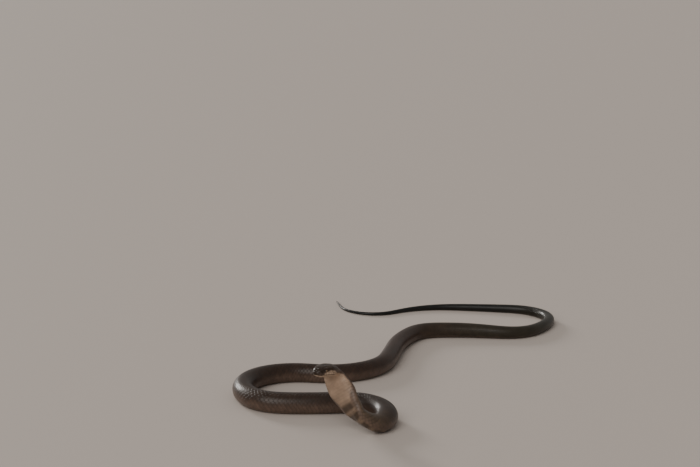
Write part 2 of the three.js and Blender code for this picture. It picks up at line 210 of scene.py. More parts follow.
# Along the head from its back to the snout, as a share of its length: half width, height above and depth
# below the widest level, and how high that level lies. It begins as wide and deep as the neck ends.
NECK_WIDTH, NECK_DEPTH = float(half_width(BODY_LENGTH)), float(half_depth(BODY_LENGTH))
HEAD_SHAPE = np.array([
    (0, NECK_WIDTH, NECK_DEPTH, NECK_DEPTH, 0), (0.12, 0.0238, 0.0148, 0.0146, 0),
    (0.28, 0.024, 0.0156, 0.0148, -0.0004), (0.45, 0.0223, 0.0162, 0.0126, -0.0008),
    (0.64, 0.0183, 0.0158, 0.0103, -0.0014), (0.8, 0.0154, 0.0148, 0.0078, -0.0022),
    (0.92, 0.0131, 0.0135, 0.0061, -0.0028), (1, 0.0118, 0.0124, 0.0053, -0.0031),
])
HEAD_EASE = 0.12
SNOUT_ROUND = 0.2
SNOUT_SQUARE = 2.3
SNOUT_OVERHANG = 0.0011
SNOUT_FRONT = 1.4  # the overhang comes in over this many times the rounded length
CHIN_SETBACK = 0.0024
CHIN_SLOPE = 3
CROWN_SQUARE = 0.74
JAW_SQUARE = 0.9
SQUARE_FULL, BELLY_ROUND = 0.3, 0.2  # where the head is fully square, and its underside no longer level
MOUTH_ANGLES = np.array([(0, 118), (0.24, 112), (0.36, 103), (0.5, 99), (0.7, 96), (0.85, 93), (1, 91)])
MOUTH_CORNER = 0.25
MOUTH_FADE = (-0.02, 0.05)  # round its corner
MOUTH_DEPTH, MOUTH_SPREAD = 0.0012, 1.3
UPPER_LIP, LOWER_LIP = 0.0005, 0.0004
LIP_ABOVE, LIP_BELOW, LIP_SPREAD = 6, 7, 6
# Swellings of the head: place along it, angle from the crown, height, then how far each way they fade.
SWELLINGS = {
    "brow": (0.64, 47, 0.0015, 0.13, 11),
    "cheek_ridge": (0.4, 56, 0.0006, 0.16, 10),
    "snout_ridge": (0.84, 50, 0.0006, 0.09, 12),
    "lore_dip": (0.8, 74, -0.0008, 0.1, 12),
}
EYE_PLACE, EYE_ANGLE, EYE_SINK, EYE_RADIUS = 0.64, 68, 0.0025, 0.0037
ORBIT_DEPTH, ORBIT_REACH, RIM_HEIGHT, RIM_AT, RIM_WIDTH = 0.0005, 0.0026, 0.00035, 0.0033, 0.0006
NOSTRIL_PLACE, NOSTRIL_ANGLE, NOSTRIL_RADIUS, NOSTRIL_DEPTH = 0.925, 66, 0.0011, 0.0019
FACE_RADIUS, NOSE_RADIUS = 0.0175, 0.012  # of the head's section at the eye and at the nostril


def hump(value, middle, spread):
    return np.exp(-(((value - middle) / spread) ** 2))


def spot_distance(degrees, t, place, angle, radius):
    """Distance on the head's surface from a spot on its side, for points near it."""
    return np.hypot((t - place) * HEAD_LENGTH, np.radians(degrees - angle) * radius)


def head_relief(degrees, t):
    lips = look_up(MOUTH_ANGLES, t)
    opening = smoothstep(t, MOUTH_CORNER + MOUTH_FADE[0], MOUTH_CORNER + MOUTH_FADE[1])
    out = np.zeros(np.broadcast(degrees, t).shape)
    for place, angle, lift, length, spread in SWELLINGS.values():
        out = out + lift * hump(t, place, length) * hump(degrees, angle, spread)
    upper = UPPER_LIP * hump(degrees, lips - LIP_ABOVE, LIP_SPREAD)
    out = out + opening * (upper + LOWER_LIP * hump(degrees, lips + LIP_BELOW, LIP_SPREAD))
    out = out - opening * (MOUTH_DEPTH + UPPER_LIP) * hump(degrees, lips, MOUTH_SPREAD)
    eye = spot_distance(degrees, t, EYE_PLACE, EYE_ANGLE, FACE_RADIUS)
    out = out - ORBIT_DEPTH * hump(eye, 0, ORBIT_REACH) + RIM_HEIGHT * hump(eye, RIM_AT, RIM_WIDTH)
    nostril = spot_distance(degrees, t, NOSTRIL_PLACE, NOSTRIL_ANGLE, NOSE_RADIUS)
    return out - NOSTRIL_DEPTH * np.exp(-((nostril / NOSTRIL_RADIUS) ** 3))


def signed_power(value, exponent):
    return np.sign(value) * np.abs(value) ** exponent


def head_local(angle, t, lift):
    """Points of the head's surface in its own axes: right, forward and up."""
    t = np.clip(t, 0, 1)
    closing = np.clip((t - (1 - SNOUT_ROUND)) / SNOUT_ROUND, 0, 1)
    rounding = (1 - closing**SNOUT_SQUARE) ** (1 / SNOUT_SQUARE)
    above = np.cos(angle) > 0
    square = lerp(1, np.where(above, CROWN_SQUARE, JAW_SQUARE), smoothstep(t, 0, SQUARE_FULL))
    out = head_relief(np.degrees(np.abs(angle)), t) + lift
    width, top, bottom, level = (smooth_table(HEAD_SHAPE, t, k, HEAD_EASE) for k in range(1, 5))
    height = np.where(above, top, bottom)
    flat = lerp(-BELLY_FLAT, -1, smoothstep(t, 0, BELLY_ROUND))
    tall = np.maximum(signed_power(np.cos(angle), square), flat)
    front = smoothstep(t, 1 - SNOUT_FRONT * SNOUT_ROUND, 1)
    overhang = SNOUT_OVERHANG * np.sin(tall * math.pi * rounding)
    setback = -CHIN_SETBACK * np.minimum(1, -CHIN_SLOPE * tall * rounding)
    return np.stack([
        signed_power(np.sin(angle), square) * (width + out) * rounding,
        t * HEAD_LENGTH + front * np.where(above, overhang, setback),
        level + tall * (height + out) * rounding,
    ], axis=-1)


HEAD_RIGHT = unit(np.cross(HEAD_DIRECTION, np.array(BACK_KEYS[-1][1], float)))
HEAD_UP = np.cross(HEAD_RIGHT, HEAD_DIRECTION)
HEAD_ORIGIN = MIDDLES[-1] + HEAD_DIRECTION * HEAD_GAP
HEAD_AXES = np.stack([HEAD_RIGHT, HEAD_DIRECTION, HEAD_UP])


def head_point(angle, t, lift=0.0):
    return HEAD_ORIGIN + head_local(angle, t, lift) @ HEAD_AXES


def surface(s, angle, lift):
    """Points over the whole animal's surface: place along it, angle from the back's middle line, lift."""
    s, angle, lift = np.broadcast_arrays(np.asarray(s, float), angle, lift)
    on_body = np.minimum(s, BODY_LENGTH)
    aside = np.sin(angle) * (half_width(on_body) + lift)
    above = np.maximum(np.cos(angle), -BELLY_FLAT) * (half_depth(on_body) + lift)
    shape = s.shape
    flat = on_body.ravel()
    body = middle_at(flat) + vectors_at(flat, FRAME_PLACES, RIGHTS) * aside.reshape(-1, 1)
    body = (body + vectors_at(flat, FRAME_PLACES, BACKS) * above.reshape(-1, 1)).reshape(*shape, 3)
    t = (s - BODY_LENGTH - HEAD_GAP) / HEAD_LENGTH
    return np.where((t > 0)[..., None], head_point(angle, t, lift), body)


COAT_DEPTH = 0.0009  # the skin lies this far under the solids' surface, and the scales reach up to it


def add_object(name, data):
    thing = bpy.data.objects.new(name, data)
    bpy.context.scene.collection.objects.link(thing)
    return thing


def make_mesh(name, points, faces, material, attributes=None, places=None):
    """A smooth mesh from points and a list of face arrays, with its attributes and its unwrapped places."""
    mesh = bpy.data.meshes.new(name)
    mesh.vertices.add(len(points))
    mesh.vertices.foreach_set("co", np.asarray(points, np.float32).ravel())
    sizes = np.concatenate([np.full(len(block), block.shape[1]) for block in faces])
    corners = np.concatenate([block.ravel() for block in faces])
    mesh.loops.add(len(corners))
    mesh.loops.foreach_set("vertex_index", corners.astype(np.int32))
    mesh.polygons.add(len(sizes))
    starts = np.concatenate([[0], np.cumsum(sizes)[:-1]])
    mesh.polygons.foreach_set("loop_start", starts.astype(np.int32))
    mesh.polygons.foreach_set("use_smooth", np.ones(len(sizes), bool))
    mesh.update(calc_edges=True)
    mesh.validate()
    for key, values in (attributes or {}).items():
        layer = mesh.attributes.new(key, "FLOAT", "POINT")
        layer.data.foreach_set("value", np.asarray(values, np.float32))
    if places is not None:
        layer = mesh.uv_layers.new(name="OFBake")
        layer.uv.foreach_set("vector", np.asarray(places, np.float32)[corners].ravel())
    mesh.materials.append(material)
    piece = add_object(name, mesh)
    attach(piece, "root")
    return piece


# Materials


class Nodes:
    """A short way of making a material's nodes."""

    def __init__(self, name):
        self.material = bpy.data.materials.new(name)
        self.material.use_nodes = True
        self.tree = self.material.node_tree
        self.shader = self.tree.nodes["Principled BSDF"]

    def add(self, kind, inputs=(), **settings):
        node = self.tree.nodes.new(kind)
        for key, value in settings.items():
            setattr(node, key, value)
        for key, value in dict(inputs).items():
            self.put(node.inputs[key], value)
        return node

    def put(self, socket, value):
        if isinstance(value, bpy.types.NodeSocket):
            self.tree.links.new(value, socket)
        else:
            socket.default_value = value

    def shade(self, inputs):
        for key, value in inputs.items():
            self.put(self.shader.inputs[key], value)

    def read(self, attribute):
        return self.add("ShaderNodeAttribute", attribute_name=attribute).outputs["Fac"]

    def math(self, operation, *values):
        return self.add("ShaderNodeMath", dict(enumerate(values)), operation=operation).outputs[0]

    def span(self, value, low, high, to_low=0.0, to_high=1.0):
        inputs = {"Value": value, "From Min": low, "From Max": high, "To Min": to_low, "To Max": to_high}
        return self.add("ShaderNodeMapRange", inputs, interpolation_type="SMOOTHSTEP").outputs["Result"]

    def mix(self, share, a, b, blend="MIX"):
        node = self.add("ShaderNodeMix", data_type="RGBA", blend_type=blend)
        for socket, value in zip((node.inputs[0], node.inputs[6], node.inputs[7]), (share, a, b)):
            self.put(socket, value)
        return node.outputs[2]

    def grey(self, value):
        inputs = dict.fromkeys(("Red", "Green", "Blue"), value)
        return self.add("ShaderNodeCombineColor", inputs).outputs["Color"]

    def ramp(self, value, stops):
        node = self.add("ShaderNodeValToRGB", {"Fac": value})
        elements = node.color_ramp.elements
        while len(elements) < len(stops):
            elements.new(0.5)
        for element, (place, colour) in zip(elements, stops.items()):
            element.position = place
            element.color = linear(*colour)
        return node.outputs["Color"]

    def noise(self, scale, detail=3.0, roughness=0.55):
        where = self.add("ShaderNodeTexCoord").outputs["Object"]
        inputs = {"Vector": where, "Scale": scale, "Detail": detail, "Roughness": roughness}
        return self.add("ShaderNodeTexNoise", inputs).outputs["Fac"]

    def bump(self, height, strength, distance):
        inputs = {"Height": height, "Strength": strength, "Distance": distance}
        self.shade({"Normal": self.add("ShaderNodeBump", inputs).outputs["Normal"]})


def linear(red, green, blue):
    """A colour given as it looks on a screen, 0 to 255, in the shader's terms."""
    def channel(value):
        value = value / 255
        return value / 12.92 if value <= 0.04045 else ((value + 0.055) / 1.055) ** 2.4
    return (*(channel(value) for value in (red, green, blue)), 1)


# Colours along the back and the belly from the tail to the snout, by share of the whole length.
BACK_COLOURS = {
    0.0: (14, 14, 12), 0.2: (16, 15, 13), 0.3: (40, 36, 26), 0.4: (50, 43, 33), 0.5: (56, 38, 28),
    0.62: (52, 37, 28), 0.75: (50, 36, 27), 0.9: (48, 35, 26), 0.945: (98, 82, 66), 0.975: (66, 49, 36),
    1.0: (46, 33, 24),
}
BELLY_COLOURS = {
    0.0: (34, 34, 28), 0.2: (44, 41, 33), 0.5: (88, 71, 59), 0.85: (98, 80, 67), 0.93: (116, 97, 80),
    0.944: (124, 104, 87), 0.948: (140, 119, 101), 0.965: (164, 139, 118), 1.0: (174, 150, 128),
}
# Dark bars across the throat: their middles and the reach of their edges, as shares of the whole length, and
# the turn from the back over which they fade in.
BARS = [0.9102 + k * 0.0085 for k in range(5)]
BAR_EDGE, BAR_TURN, BAR_STRENGTH, BAR_COLOUR = (0.0012, 0.004), (0.55, 0.72), 0.75, linear(48, 37, 29)
# The belly's colour begins at this turn from the back's middle line, as a share of half a circle. It begins
# lower or higher by these amounts, each coming in over a stretch of the body or of the head.
BELLY_START, BELLY_SOFT = 0.62, 0.1
BELLY_SHIFTS = [
    ("along", 0.934, 0.946, 0.14), ("along", 0.946, 0.966, -0.3), ("along", 0.966, 0.98, 0.09),
    ("head", 0.02, 0.3, -0.18), ("head", 0.62, 1.0, 0.16),
]
BELLY_WANDER = 0.025  # the line between the two colours wanders up and down by this turn
# The back is lighter along the flank: partly the flank's own lighter tone, partly painted light standing in
# for the floor's reflection on the lower flank.
FLANK_TONE_AND_REFLECTION = {"turn": (0.32, 0.6), "along": (0.4, 0.6), "share": 0.62, "colour": linear(106, 87, 76)}
MOTTLE, SCALE_TINT = (0.86, 1.12), (0.9, 1.1)  # how dark and how light patches and single scales are
NOISE_CORE = (0.3, 0.7)  # the part of a noise's range that is used


def snake_colour(nodes):
    """The animal's markings: the back's and belly's colours along it, a lighter flank that is partly painted
    floor reflection, bars on the throat, mottling.
    """
    along, turn = nodes.read("along"), nodes.read("turn")
    back = nodes.ramp(along, BACK_COLOURS)
    belly = nodes.ramp(along, BELLY_COLOURS)
    bars = 0.0
    for place in BARS:
        away = nodes.math("ABSOLUTE", nodes.math("SUBTRACT", along, place))
        bars = nodes.math("MAXIMUM", bars, nodes.span(away, *BAR_EDGE, 1.0, 0.0))
    bars = nodes.math("MULTIPLY", bars, nodes.span(turn, *BAR_TURN, 0.0, BAR_STRENGTH))
    belly = nodes.mix(bars, belly, BAR_COLOUR)
    low = BELLY_START
    for name, first, last, shift in BELLY_SHIFTS:
        low = nodes.math("ADD", low, nodes.span(nodes.read(name), first, last, 0.0, shift))
    wander = nodes.span(nodes.noise(90.0, 2.0), *NOISE_CORE, -BELLY_WANDER, BELLY_WANDER)
    low = nodes.math("ADD", low, wander)
    under = nodes.span(turn, low, nodes.math("ADD", low, BELLY_SOFT))
    # The flank's lighter tone, partly its own and partly a painted reflection of the floor.
    flank_and_reflection = nodes.math("MULTIPLY", nodes.span(turn, *FLANK_TONE_AND_REFLECTION["turn"]), nodes.span(along, *FLANK_TONE_AND_REFLECTION["along"]))
    back = nodes.mix(nodes.math("MULTIPLY", flank_and_reflection, FLANK_TONE_AND_REFLECTION["share"]), back, FLANK_TONE_AND_REFLECTION["colour"])
    colour = nodes.mix(under, back, belly)
    mottle = nodes.span(nodes.noise(60.0, 4.0), 0.35, 0.7, *MOTTLE)
    tint = nodes.span(nodes.read("tint"), 0.0, 1.0, *SCALE_TINT)
    return nodes.mix(1.0, colour, nodes.grey(nodes.math("MULTIPLY", mottle, tint)), "MULTIPLY")


# A scale is darker from this share of its half breadth to its edge; the same dark colour paints shade into
# the nostril's hole. Its gloss varies by small amounts.
EDGE_SPAN, EDGE_AND_PIT_SHADE_COLOUR = (0.55, 1.0), linear(17, 13, 10)
ROUGH_LESS, ROUGH_MORE = 0.05, 0.07


def scale_material(name, edge_dark, roughness, coat):
    nodes = Nodes(name)
    # On the nasal shields this mark also holds the nostril's painted shade.
    edge = nodes.span(nodes.read("edge"), *EDGE_SPAN, 0.0, edge_dark)
    lowest, highest = roughness - ROUGH_LESS, roughness + ROUGH_MORE
    nodes.shade({
        "Base Color": nodes.mix(edge, snake_colour(nodes), EDGE_AND_PIT_SHADE_COLOUR),
        "Roughness": nodes.span(nodes.noise(900.0, 2.0), *NOISE_CORE, lowest, highest),
        "Specular IOR Level": 0.25, "Coat Weight": coat, "Coat Roughness": 0.24,
    })
    nodes.bump(nodes.noise(2600.0, 3.0), strength=0.12, distance=0.0002)
    return nodes.material


# The skin between the scales is darker than they are by this share, but hardly so in the throat's folds.
# These lie where each of the spans has risen to 1.
SKIN_DARK, FOLDS_DARK, SKIN_COLOUR = 0.5, 0.08, linear(20, 16, 12)
FOLDS = {"turn": (0.48, 0.56, 0.0, 1.0), "along": (0.952, 0.962, 0.0, 1.0), "head": (0.03, 0.12, 1.0, 0.0)}


def skin_material():
    nodes = Nodes("snake_skin")
    folds = 1.0
    for name, span in FOLDS.items():
        folds = nodes.math("MULTIPLY", folds, nodes.span(nodes.read(name), *span))
    share = nodes.span(folds, 0.0, 1.0, SKIN_DARK, FOLDS_DARK)
    colour = nodes.mix(share, snake_colour(nodes), SKIN_COLOUR)
    nodes.shade({"Base Color": colour, "Roughness": 0.6, "Specular IOR Level": 0.2})
    nodes.bump(nodes.noise(1500.0, 4.0), strength=0.3, distance=0.0003)
    return nodes.material


# The skin

SKIN_STEP, NAPE_STEP = 0.004, 0.001
NAPE_FROM = 2.83  # from here on the skin's rings stand close, because the neck bends sharply
HALF_SIDES = 40
MOUTH_SIDE = 25  # the side where the line of the mouth runs
MOUTH_CROWDS = (1.5, 1.6)  # how much closer the angles stand above and below it
HEAD_ROWS = 110
SNOUT_CROWD = 0.9
HEAD_ANGLES_FROM = 0.05  # the angles change to the head's over this length of the neck


def head_share(s):
    """How far along the head a place is, from 0 at its back and on the body to 1 at the snout."""
    return np.clip((s - BODY_LENGTH - HEAD_GAP) / HEAD_LENGTH, 0, 1)


def marks(s, angle, tint, edge):
    """What the markings are drawn from, at points given by place and angle in radians."""
    turn = np.abs((np.asarray(angle) + math.pi) % (2 * math.pi) - math.pi) / math.pi
    s, turn, tint, edge = np.broadcast_arrays(s, turn, tint, edge)
    along = np.clip(s / WHOLE_LENGTH, 0, 1)
    values = {"along": along, "turn": turn, "head": head_share(s), "tint": tint, "edge": edge}
    return {key: value.ravel() for key, value in values.items()}


def head_angles(t):
    """Angles round half the head, close together at the line of the mouth."""
    k = np.arange(HALF_SIDES + 1)
    upper = 1 - (1 - np.clip(k / MOUTH_SIDE, 0, 1)) ** MOUTH_CROWDS[0]
    lower = np.clip((k - MOUTH_SIDE) / (HALF_SIDES - MOUTH_SIDE), 0, 1) ** MOUTH_CROWDS[1]
    lips = look_up(MOUTH_ANGLES, t)[:, None]
    return upper * lips + lower * (180 - lips)


def fan(middle, ring):
    """Triangles from one point to each pair of neighbours in a ring."""
    return np.stack([np.full(len(ring), middle), ring, np.roll(ring, -1)], axis=-1)


def ring_quads(rings):
    """Quads between rings of points, each ring closed."""
    after = np.roll(rings, -1, axis=1)
    return np.stack([rings[:-1], rings[1:], after[1:], after[:-1]], axis=-1).reshape(-1, 4)


def make_skin(material):
    nape_rows = np.linspace(NAPE_FROM, BODY_LENGTH, round((BODY_LENGTH - NAPE_FROM) / NAPE_STEP))
    body_rows = np.concatenate([np.arange(SKIN_STEP, NAPE_FROM - SKIN_STEP, SKIN_STEP), nape_rows])
    closing = np.cos(np.linspace(0.5 * math.pi, 0, HEAD_ROWS)[:-1])
    head_rows = BODY_LENGTH + HEAD_GAP + HEAD_LENGTH * closing[1:] ** SNOUT_CROWD
    rows = np.concatenate([body_rows, head_rows])
    even = np.linspace(0, 180, HALF_SIDES + 1)
    even[np.abs(even - BELLY_CORNER).argmin()] = BELLY_CORNER
    share = smoothstep(rows, BODY_LENGTH - HEAD_ANGLES_FROM, BODY_LENGTH)[:, None]
    half = np.radians(lerp(even, head_angles(head_share(rows)), share))
    angles = np.concatenate([half, -half[:, -2:0:-1]], axis=1)
    s = np.broadcast_to(rows[:, None], angles.shape)
    tip = surface(np.array([0.0]), np.array([0.0]), -half_depth(0.0))
    snout = head_point(np.array([0.0]), np.array([1.0]), -COAT_DEPTH) - HEAD_DIRECTION * COAT_DEPTH
    points = np.vstack([surface(s, angles, -COAT_DEPTH).reshape(-1, 3), tip, snout])
    grid = np.arange(s.size).reshape(s.shape)
    faces = [ring_quads(grid), fan(s.size, grid[0]), fan(s.size + 1, grid[-1][::-1])]
    s_all = np.concatenate([s.ravel(), [0, WHOLE_LENGTH]])
    angle_all = np.concatenate([angles.ravel(), [0, math.pi / 2]])
    piece = make_mesh("snake_skin", points, faces, material, marks(s_all, angle_all, 0.5, 0.0))
    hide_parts(*FLESH)


# Scales

STRIPS = 6  # the skin's unwrap is cut into this many strips, laid one above another
BAKE_MARGIN = 0.01
BAKE_PATCH = 0.003  # size of a small scale's patch on the unwrap


def bake_place(s, angle, root):
    """Where a place of the skin, with its angle in radians, lies on the unwrap, in its root's strip."""
    strip = np.clip(np.floor(root / WHOLE_LENGTH * STRIPS), 0, STRIPS - 1)
    round_share = angle / (2 * math.pi) % 1
    u = s / WHOLE_LENGTH * STRIPS - strip
    return BAKE_MARGIN + (1 - 2 * BAKE_MARGIN) * np.stack([u, (strip + round_share) / STRIPS], axis=-1)


# Length of the belly scutes and of each ring of scales, by place along the body.
PERIODS = np.array([
    (0, 0.0042), (0.3, 0.0062), (0.62, 0.0085), (1.2, 0.0094), (2.2, 0.0096), (2.72, 0.0082),
    (2.86, 0.0068), (2.97, 0.005),
])
# How many rows of scales there are round the back, up to each place.
ROWS = [(0.05, 4), (0.11, 5), (0.2, 7), (0.31, 9), (0.44, 11), (0.6, 13), (9, 15)]
TAIL_START = 0.012  # the very tip of the tail is one bare cone
WIDER_BELOW = 0.1  # the lowest rows are wider by this share
SCUTE_EDGE = 122  # the belly scutes begin at this angle from the back, in degrees
SCALE_SIDES = 18
SCALE_ROOT, SCALE_TIP = 0.78, 0.80  # how far a scale reaches either way, in ring lengths
SCALE_WIDTH = 0.96  # half its width in row distances
SCALE_RISE = 0.00058
SCALE_DOME = 0.00012
SCALE_RIM = 0.00016
SCALE_MIDDLE = 0.42  # where a scale is widest, from root to tip
SCALE_POINT = (1.7, 0.8)  # how its sides close in towards the tip
SCALE_RINGS = [(0.5, 0.75, 0.0), (0.86, 0.2, 0.0), (1.0, 0.0, -1.0)]  # share of its size, dome and rim
SCALE_KEEL = -2.5  # the rim's share at the middle of its underside
FULL_SCALE_GIRTH = 0.02  # on thinner lengths than this the scales are thinner too
THINNEST_SCALE = 0.3
TAIL_END = 0.002  # no scale reaches nearer to the tip than this
ROOT_SINK = 0.1  # a root lies this share of the rise lower than the skin
SIZE_VARIES = (0.96, 1.04)
LEAN_VARIES, LEAN_MIDDLE, LIFT_VARIES = 0.02, 0.4, 0.00002


def scale_template():
    """A scale's points as place along it, place across it, dome, rim and edge, and its faces."""
    around = np.arange(SCALE_SIDES) / SCALE_SIDES * 2 * math.pi
    u = 0.5 - 0.5 * np.cos(around)
    root_side = np.sqrt(np.clip(u / SCALE_MIDDLE, 0, 1))
    closing = np.clip((u - SCALE_MIDDLE) / (1 - SCALE_MIDDLE), 0, 1)
    tip_side = (1 - closing ** SCALE_POINT[0]) ** SCALE_POINT[1]
    v = np.sign(np.sin(around)) * np.where(u < SCALE_MIDDLE, root_side, tip_side)
    v[np.abs(np.sin(around)) < 1e-9] = 0
    points = [(SCALE_MIDDLE, 0.0, 1.0, 0.0, 0.0)]
    for share, dome, rim in SCALE_RINGS:
        points += [(lerp(SCALE_MIDDLE, a, share), b * share, dome, rim, share) for a, b in zip(u, v)]
    points.append((SCALE_MIDDLE, 0.0, -1.0, SCALE_KEEL, 0.5))
    rows = 1 + np.arange(len(SCALE_RINGS) * SCALE_SIDES).reshape(len(SCALE_RINGS), SCALE_SIDES)
    after = np.roll(rows, -1, axis=1)
    halves = [(rows[:-1], after[:-1], after[1:]), (rows[:-1], after[1:], rows[1:])]
    sides = [np.stack(half, axis=-1).reshape(-1, 3) for half in halves]
    faces = [fan(0, rows[0])[:, ::-1], *sides, fan(len(points) - 1, rows[-1])]
    return np.array(points), np.concatenate(faces)


def ring_places(start, end):
    places = []
    s = start
    while s > end:
        places.append(s)
        s -= look_up(PERIODS, s)
    return np.array(places)


def row_angles(rows):
    """Angles of the rows round the back, a little wider next to the belly."""
    half = (rows - 1) / 2
    place = np.arange(rows) - half
    spread = place * (1 + WIDER_BELOW * (np.abs(place) / max(half, 1)) ** 2)
    return spread * SCUTE_EDGE / ((half + 0.5) * (1 + WIDER_BELOW))


# How far along the head the neck's scales reach, by angle: over the crown and the jaws the shields begin.
NECK_SCALES_END = np.array([(0, 0.13), (44, 0.13), (52, 0.27), (88, 0.27), (96, 0.25), (125, 0.22)])
FIRST_RING = 0.3  # the foremost ring of scales and the foremost belly scute, as shares of the head's length
FIRST_SCUTE = 0.06


def back_seats():
    """Seats of the scales: place along the body, angle, ring length and the angle between rows."""
    seats = []
    for s in ring_places(BODY_LENGTH + FIRST_RING * HEAD_LENGTH, TAIL_START):
        rows = next(count for limit, count in ROWS if s < limit)
        period = look_up(PERIODS, s)
        angles = row_angles(rows)
        gap = abs(angles[1] - angles[0])
        for row, angle in enumerate(angles):
            shift = 0.5 * ((row - (rows - 1) // 2) % 2)
            seats.append((s - shift * period, angle, period, gap))
    seats = np.array(seats)
    reach = look_up(NECK_SCALES_END, np.abs(seats[:, 1]))
    return seats[(seats[:, 0] - BODY_LENGTH) / HEAD_LENGTH < reach]


# The small scales between the jaws: ring length, angle between rows, the row next to the jaw, the stretch of
# the head that they cover, and how far they stay from the lip's shields.
GULAR_PERIOD, GULAR_GAP, GULAR_FIRST, GULAR_SPAN, JAW_GAP = 0.0042, 9.5, 127.0, (0.03, 0.7), 2
# They end where the chin shields begin.
CHIN_REACH = np.array([(126, 0.74), (138, 0.7), (149, 0.6), (180, 0.6)])


def throat_seats():
    """Seats of the small scales between the jaws, behind the chin shields."""
    seats = []
    for t in np.arange(*GULAR_SPAN, GULAR_PERIOD / HEAD_LENGTH):
        inner = look_up(JAW_INNER, t)
        for row, angle in enumerate(np.arange(180, GULAR_FIRST, -GULAR_GAP)):
            at = t + 0.5 * (row % 2) * GULAR_PERIOD / HEAD_LENGTH
            if angle < inner + JAW_GAP or at > look_up(CHIN_REACH, angle):
                continue
            s = BODY_LENGTH + HEAD_GAP + at * HEAD_LENGTH
            sides = (1, -1) if row else (1,)
            seats += [(s, side * angle, GULAR_PERIOD, GULAR_GAP) for side in sides]
    return np.array(seats)


def thickness_share(s):
    """How thick scales and scutes are along the body, as a share of the thickest."""
    return np.clip(half_width(np.minimum(s, BODY_LENGTH)) / FULL_SCALE_GIRTH, THINNEST_SCALE, 1)


def lay_scales(name, seats, material):
    template, faces = scale_template()
    count, size = len(seats), len(template)
    s0, angle0, period, gap = (seats[:, k, None] for k in range(4))
    u, v, dome, rim, edge = (template[None, :, k] for k in range(5))
    length_share = random.uniform(*SIZE_VARIES, (count, 1))
    width_share = random.uniform(*SIZE_VARIES, (count, 1))
    lean = random.normal(0, LEAN_VARIES, (count, 1))
    s = s0 + (SCALE_ROOT - (SCALE_ROOT + SCALE_TIP) * u) * period * length_share
    angle = np.radians(angle0 + (v * SCALE_WIDTH * width_share + (u - LEAN_MIDDLE) * lean) * gap)
    lift = SCALE_RISE * ((1 + ROOT_SINK) * u - ROOT_SINK) + SCALE_DOME * dome + SCALE_RIM * rim
    lift = lift * thickness_share(s0) + random.normal(0, LIFT_VARIES, (count, 1))
    points = surface(np.maximum(s, TAIL_END), angle, lift - COAT_DEPTH)
    blocks = (faces[None] + np.arange(count)[:, None, None] * size).reshape(-1, 3)
    places = bake_place(s0, np.radians(angle0), s0) + BAKE_PATCH * np.stack([u - 0.5, v * 0.5], axis=-1)
    attributes = marks(s, angle, random.uniform(0, 1, (count, 1)), edge)
    piece = make_mesh(name, points.reshape(-1, 3), [blocks], material, attributes, places.reshape(-1, 2))


# The coat's pieces: where each begins and ends along the body, and its slot.
COAT = {
    "tail_scales": (0, 0.65, "tail_skin"),
    "rear_scales": (0.65, 1.3, "body_skin"),
    "middle_scales": (1.3, 1.95, "body_skin"),
    "front_scales": (1.95, 2.55, "body_skin"),
    "neck_scales": (2.55, 9, "throat_skin"),
}


def make_scales(material):
    seats = back_seats()
    for name, (low, high, slot) in COAT.items():
        lay_scales(name, seats[(seats[:, 0] >= low) & (seats[:, 0] < high)], material)
    lay_scales("chin_scales", throat_seats(), material)


# Belly scutes

SCUTE_COLUMNS = 21
SCUTE_ROWS = np.array([0, 0.35, 0.65, 0.88, 0.97, 1.0])
SCUTE_DROP = np.array([0, 0, 0, 0, 0.25, 1]) * 0.00018  # the free edge is rounded off
SCUTE_ROOT, SCUTE_TIP = 0.5, 0.72
SCUTE_RISE = 0.00062
SCUTE_THICK = 0.0004
SCUTE_BOW = 0.16
SCUTE_SIDE_DROP = 0.00022
SCUTE_OVERLAP = 4  # how far the scutes' ends reach under the scales, in degrees
SCUTE_SHORT = 0.3  # a scute is shorter at its ends by this share
SCUTE_TINT = (0.3, 0.7)
SCUTE_PATCH = 0.8  # of its own size on the unwrap, so that neighbours stay apart


def slab(columns, rows):
    """Faces of a closed slab of two grids, the upper first."""
    top = np.arange(columns * rows).reshape(rows, columns)
    upper = np.stack([top[:-1, :-1], top[:-1, 1:], top[1:, 1:], top[1:, :-1]], axis=-1).reshape(-1, 4)
    lower = upper[:, [0, 3, 2, 1]] + columns * rows
    rim = np.concatenate([top[0, :-1], top[:-1, -1], top[-1, :0:-1], top[:0:-1, 0]])
    low = rim + columns * rows
    return np.concatenate([upper, lower, np.stack([rim, low, np.roll(low, -1), np.roll(rim, -1)], axis=-1)])


